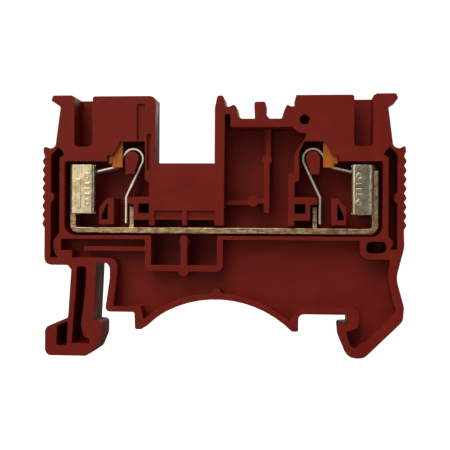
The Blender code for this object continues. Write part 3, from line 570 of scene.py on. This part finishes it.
def make_cage(side, word):
    """A sleeve folded from sheet, with rounded folds and a plain stamped relief on its front."""
    low, high = cad_size("clamp_cage_" + word)
    middle = (low[0] + high[0]) / 2
    reach = (high[0] - low[0]) / 2
    fold, bare = BAR_FOLD[word], BAR_SHOWS[word]
    bottom, top = low[2] - PAST, high[2] + PAST

    def turned(plan):
        return [(middle + side * point[0], *point[1:]) for point in plan]

    def cut_window(near, far, front, back, low_z, high_z):
        plan = turned(rectangle(near, far, front, back))
        combine(cage, prism("window", plan, low_z, high_z, "Z"), "DIFFERENCE")

    outside = turned(cage_plan(reach, low[1], high[1], fold, 0.0))
    cage = prism("cage_body_" + word, outside, low[2], high[2], "Z")
    bore = turned(cage_plan(reach, low[1], high[1], fold, SHEET))
    combine(cage, prism("bore", bore, bottom, top, "Z"), "DIFFERENCE")
    # the leg's side has a slot in its front part and is open behind it
    cut_window(-reach - PAST, SHEET - reach, low[1] + LEG_SLOT[0], low[1] + LEG_SLOT[1],
               low[2] + RIM, high[2] - RIM)
    cut_window(-reach - PAST, LEG_OPEN - reach, low[1] + LEG_OPEN, high[1] + PAST, bottom, top)
    # the outer side has a window for the bar's end
    bar_front = low[1] - PAST if bare else low[1] + BAR_LIP
    cut_window(reach - max(bare, SHEET), reach + PAST, bar_front, high[1] - RIM, bottom, high[2] - BAR_ROOF)
    # the front sheet's corners on the leg's side: all that lies outside their arcs is cut away
    edge = -reach - CORNER_SPARE
    sheet = rounded(turned([(edge, low[2], CORNER_R), (reach + PAST, low[2]),
                            (reach + PAST, high[2]), (edge, high[2], CORNER_R)]))
    zone = turned(rectangle(-reach - PAST, CORNER_ZONE - reach, bottom, top))
    waste = prism("mask", zone, low[1] - PAST, low[1] + CORNER_DEPTH)
    combine(waste, prism("sheet", sheet, low[1] - 2 * PAST, low[1] + 2 * PAST), "DIFFERENCE")
    combine(cage, waste, "DIFFERENCE")
    stamp_rings(cage, middle + side * (RELIEF_IN - reach), (low[2] + high[2]) / 2, low[1])
    if not bare:
        x = middle + side * (reach - LANCE_IN)
        stamp(cage, x - LANCE_HALF, x + LANCE_HALF, low[2] + LANCE_FOOT, high[2] - LANCE_HEAD, low[1])
    shade(cage)
    finish_piece(cage, NICKEL, "cage_metal", "base", "clamp_cage_" + word)


for side, word in SIDES:
    make_cage(side, word)


# ---------------------------------------------------------------- clamp springs

STRIP = 0.3
BOW_R = 1.32                          # radius of the strip's middle line round the pivot
SHOULDER = (PIVOT_A + 0.95, PIVOT_Z - 5.15)
KNEE = (PIVOT_A + 2.48, PIVOT_Z - 1.13)
KNEE_R, BEND_R = 0.35, 0.6
TIP_IN, TIP_UP = 0.05, 0.16           # from the leg's outer and lower limits to its tip's middle line
BEND_IN, BEND_DOWN = 1.9, 0.72        # the bend, inwards from the tip and below the knee


def tangent_angle(point, turn):
    """Angle on the bow, in degrees, where a line from the point touches it."""
    dx, dz = point[0] - PIVOT_A, point[1] - PIVOT_Z
    return math.degrees(math.atan2(dz, dx) + turn * math.acos(BOW_R / math.hypot(dx, dz)))


def make_spring(side, word):
    """One strip: foot on the bar, bow round the pivot, knee, and the leg that clamps the wire."""
    strip_low, strip_high = cad_size("clamp_spring_" + word)
    leg = cad_size("spring_leg_" + word)
    tip = (max(abs(leg[0][0]), abs(leg[1][0])) - TIP_IN, leg[0][2] + TIP_UP)
    path = [(SHOULDER[0], strip_low[2]), (*SHOULDER, BEND_R)]
    path += arc((PIVOT_A, PIVOT_Z), BOW_R, tangent_angle(SHOULDER, -1) + 360, tangent_angle(KNEE, 1))
    path += [(*KNEE, KNEE_R), (tip[0] - BEND_IN, KNEE[1] - BEND_DOWN, BEND_R), tip]
    path = [(side * a, z) for a, z in rounded(path, closed=False)]
    spring = prism("spring_body_" + word, ribbon(path, STRIP), strip_low[1], strip_high[1])
    soften(spring, STRIP_EDGE)
    spring.data.materials.append(STEEL)
    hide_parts("clamp_spring_" + word, "spring_leg_" + word)
    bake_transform(spring)


for side, word in SIDES:
    make_spring(side, word)


# ---------------------------------------------------------------- floor, light and camera

# The sweep, in metres: where its flat part starts and ends, its curve, its top and half its width
SWEEP_FRONT, SWEEP_BACK, SWEEP_R, SWEEP_TOP, SWEEP_HALF = -0.6, 0.5, 0.3, 1.2, 1.2
FLOOR_GLOW = 0.97                     # light of its own, which only the camera sees, keeps it white
ROOM_LIGHT = 0.15                     # strength of the even light from all round
LIGHT_AIM = Vector((0, 0, 0.012))     # metres
LIGHT_DISTANCE = 0.5                  # metres
WARM, MILD, COOL = (1.0, 0.87, 0.68), (1.0, 0.95, 0.88), (0.93, 1.0, 0.96)
LENS, SENSOR = 69.7, 36.0
CAMERA_PLACE = (10.26, -117.9, 11.2)
CAMERA_RISE, CAMERA_TURN, CAMERA_ROLL = 90.26, 4.83, 0.36     # degrees
CAMERA_NEAR = 0.005                   # metres


def make_floor():
    """A white sweep: a flat floor that curves up far behind the object."""
    path = [(SWEEP_FRONT, 0.0), *arc((SWEEP_BACK, SWEEP_R), SWEEP_R, -90, 0),
            (SWEEP_BACK + SWEEP_R, SWEEP_TOP)]
    build = bmesh.new()
    rows = [[build.verts.new((x, y, SOLE_Z * MM + z)) for y, z in path] for x in (-SWEEP_HALF, SWEEP_HALF)]
    for i in range(len(path) - 1):
        build.faces.new((rows[0][i], rows[1][i], rows[1][i + 1], rows[0][i + 1])).smooth = True
    floor = new_object("floor", build)
    finish = Finish("floor_white")
    tone = finish.noise(60.0, 2.0)
    finish.colour(finish.mix(tone, (0.50, 0.50, 0.50), (0.53, 0.53, 0.53)))
    finish.shader.inputs["Roughness"].default_value = 0.9
    finish.shader.inputs["Emission Color"].default_value = (1.0, 1.0, 1.0, 1.0)
    seen = finish.nodes.new("ShaderNodeLightPath").outputs["Is Camera Ray"]
    finish.links.new(finish.part(seen, FLOOR_GLOW), finish.shader.inputs["Emission Strength"])
    floor.data.materials.append(finish.material)


def area_light(name, azimuth, elevation, size, radiance, colour):
    """A square softbox aimed at the object. Azimuth 0 is straight in front, -90 at the left end."""
    turn, rise = math.radians(azimuth), math.radians(elevation)
    away = Vector((math.sin(turn) * math.cos(rise), -math.cos(turn) * math.cos(rise), math.sin(rise)))
    light = bpy.data.lights.new(name, "AREA")
    light.size = size
    light.energy = radiance * math.pi * size * size
    light.color = colour
    lamp = bpy.data.objects.new(name, light)
    lamp.location = LIGHT_AIM + away * LIGHT_DISTANCE
    lamp.rotation_euler = (-away).to_track_quat("-Z", "Y").to_euler()
    bpy.context.scene.collection.objects.link(lamp)


def make_world():
    """White to look at, and a dim even room as a light."""
    world = bpy.data.worlds.new("studio")
    world.use_nodes = True
    nodes, links = world.node_tree.nodes, world.node_tree.links
    strength = nodes.new("ShaderNodeMapRange")
    strength.inputs["To Min"].default_value = ROOM_LIGHT
    strength.inputs["To Max"].default_value = 1.0
    links.new(nodes.new("ShaderNodeLightPath").outputs["Is Camera Ray"], strength.inputs["Value"])
    links.new(strength.outputs["Result"], nodes["Background"].inputs["Strength"])
    nodes["Background"].inputs["Color"].default_value = (1.0, 1.0, 1.0, 1.0)
    bpy.context.scene.world = world


def make_camera():
    """A camera a short way in front of the block, slightly turned towards its left end."""
    lens = bpy.data.cameras.new("camera")
    lens.sensor_width = SENSOR
    lens.lens = LENS
    lens.clip_start = CAMERA_NEAR
    camera = bpy.data.objects.new("camera", lens)
    turn = Euler((math.radians(CAMERA_RISE), 0, math.radians(CAMERA_TURN))).to_matrix().to_4x4()
    place = Matrix.Translation(Vector(CAMERA_PLACE) * MM)
    camera.matrix_world = place @ turn @ Matrix.Rotation(math.radians(CAMERA_ROLL), 4, "Z")
    bpy.context.scene.collection.objects.link(camera)
    bpy.context.scene.camera = camera


make_floor()
area_light("key", -30, 14, 0.40, 1.3, WARM)
area_light("overhead", -20, 50, 0.35, 4.2, MILD)
area_light("back", 165, 30, 0.35, 1.6, MILD)
area_light("strip", 50, 10, 0.07, 5.0, COOL)
make_world()
make_camera()
bpy.context.scene.view_settings.view_transform = "Standard"
